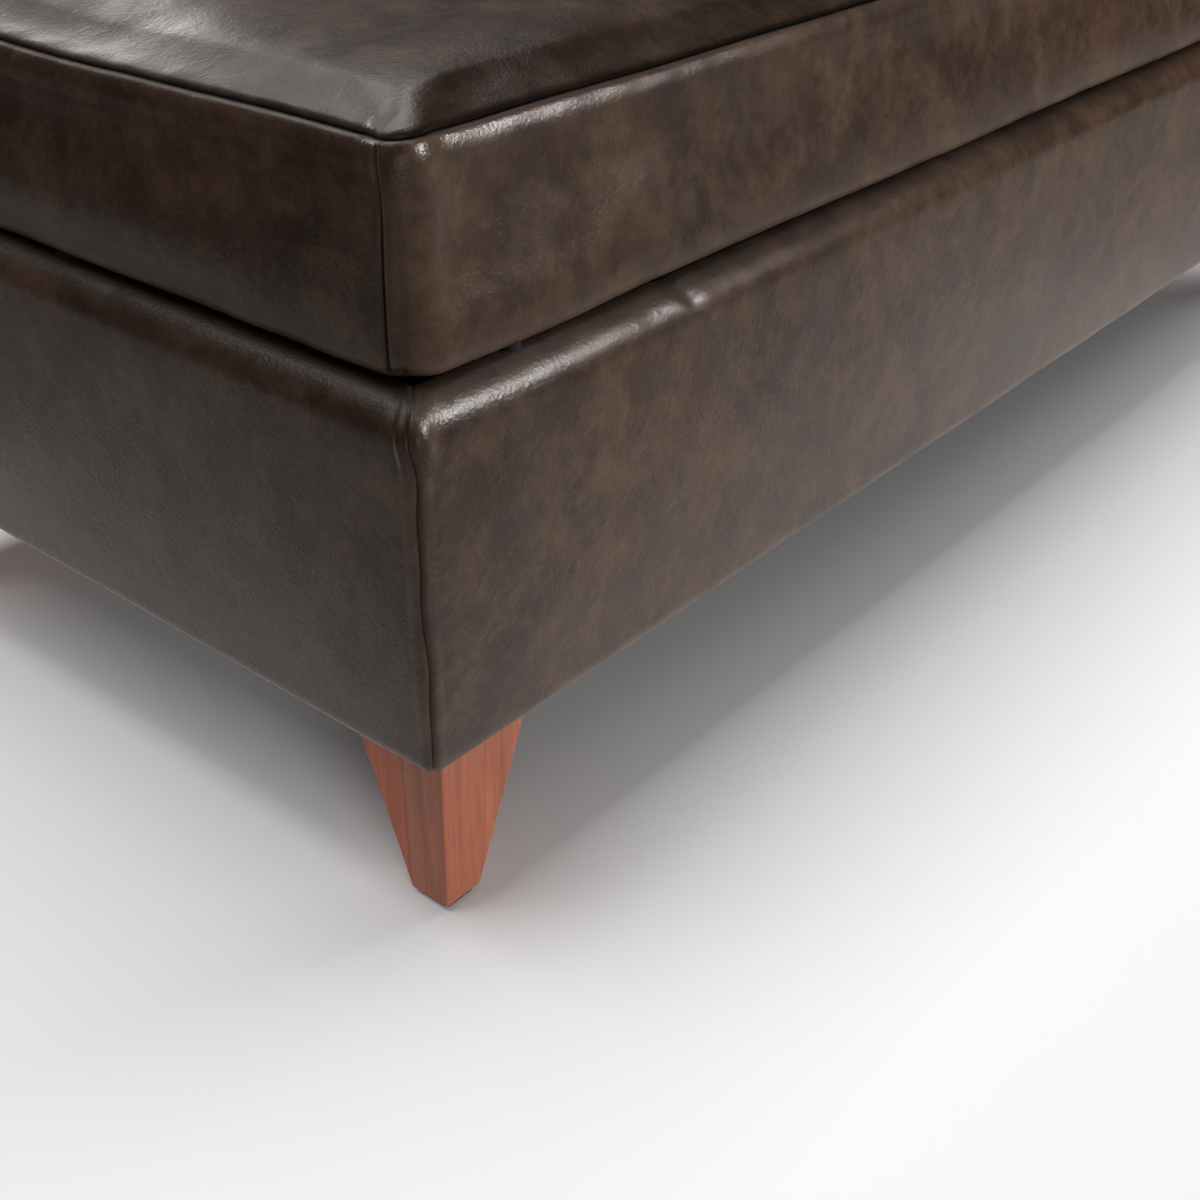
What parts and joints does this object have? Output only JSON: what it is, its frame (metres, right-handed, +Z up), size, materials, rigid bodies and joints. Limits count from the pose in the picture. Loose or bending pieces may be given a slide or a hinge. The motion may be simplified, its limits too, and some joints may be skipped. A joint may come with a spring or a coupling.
{
  "type": "ottoman with storage",
  "caption": "Rectangular leather-covered ottoman on tapered wooden legs, with a hinged padded lid that opens over a lined storage box.",
  "frame": {"origin": "on the floor, under the middle of the ottoman's overall box, hinge barrels included", "axes": "+Z up; +X along the length; -Y towards the front, the long side that the lid opens from; +Y towards the hinges"},
  "size_m": [1.4, 0.61, 0.45],
  "materials": {
    "leather": "semi-gloss pull-up leather, dark brown with lighter rubbed patches",
    "plywood": "unfinished plywood",
    "softwood": "planed softwood",
    "leg_wood": "satin reddish-brown stain",
    "foam": "open-cell foam",
    "batting": "polyester batting",
    "lining_cloth": "matt woven lining",
    "dust_cloth": "matt non-woven cloth",
    "hinge_steel": "satin plated steel",
    "zinc_steel": "zinc-plated steel",
    "nylon": "natural nylon",
    "black_rubber": "matt black rubber"
  },
  "bodies": {
    "base": {"front_panel": "plywood", "back_panel": "plywood", "left_panel": "plywood", "right_panel": "plywood", "storage_floor": "plywood", "bottom_cleats": "softwood", "corner_block_front_left": "softwood", "corner_block_front_right": "softwood", "corner_block_back_left": "softwood", "corner_block_back_right": "softwood", "frame_screws": "zinc_steel", "tee_nuts": "zinc_steel", "storage_lining": "lining_cloth", "dust_cover": "dust_cloth", "foam_front": "foam", "foam_back": "foam", "foam_left": "foam", "foam_right": "foam", "leather_front": "leather", "leather_back": "leather", "leather_left": "leather", "leather_right": "leather", "leg_front_left": "leg_wood", "leg_front_right": "leg_wood", "leg_back_left": "leg_wood", "leg_back_right": "leg_wood", "hanger_bolts": "zinc_steel", "leg_glides": "black_rubber", "hinge_left_box_leaf": "hinge_steel", "hinge_middle_box_leaf": "hinge_steel", "hinge_right_box_leaf": "hinge_steel", "hinge_left_pin": "zinc_steel", "hinge_middle_pin": "zinc_steel", "hinge_right_pin": "zinc_steel", "hinge_box_screws": "zinc_steel", "stay_stud_left": "zinc_steel", "stay_stud_right": "zinc_steel", "stay_spacers": "nylon"},
    "lid": {"hinge_left_lid_leaf": "hinge_steel", "hinge_middle_lid_leaf": "hinge_steel", "hinge_right_lid_leaf": "hinge_steel", "hinge_lid_screws": "zinc_steel", "stay_bracket_left": "hinge_steel", "stay_bracket_right": "hinge_steel", "stay_rivets": "zinc_steel", "stay_washers": "nylon", "stay_bracket_screws": "zinc_steel", "lid_board": "plywood", "lid_foam": "foam", "lid_batting": "batting", "lid_leather_top": "leather", "lid_band_front": "leather", "lid_band_back": "leather", "lid_band_left": "leather", "lid_band_right": "leather", "lid_lining": "lining_cloth", "lid_pads": "black_rubber"},
    "stay_left": {"stay_arm_left": "hinge_steel"},
    "stay_right": {"stay_arm_right": "hinge_steel"}
  },
  "joints": [
    {"name": "lid_hinge", "type": "hinge", "parent": "base", "child": "lid", "pos_m": [0, 0.301, 0.3235], "axis": [-1, 0, 0], "range_deg": [0, 85]},
    {"name": "stay_left_swing", "type": "hinge", "parent": "lid", "child": "stay_left", "pos_m": [-0.662, 0.20648, 0.314], "axis": [-1, 0, 0], "range_deg": [-42.5, 0]},
    {"name": "stay_right_swing", "type": "hinge", "parent": "lid", "child": "stay_right", "pos_m": [0.662, 0.20648, 0.314], "axis": [-1, 0, 0], "range_deg": [-42.5, 0]}
  ],
  "couplings": [
    {"joint": "stay_left_swing", "follows": "lid_hinge", "ratio": -0.5},
    {"joint": "stay_right_swing", "follows": "lid_hinge", "ratio": -0.5}
  ]
}
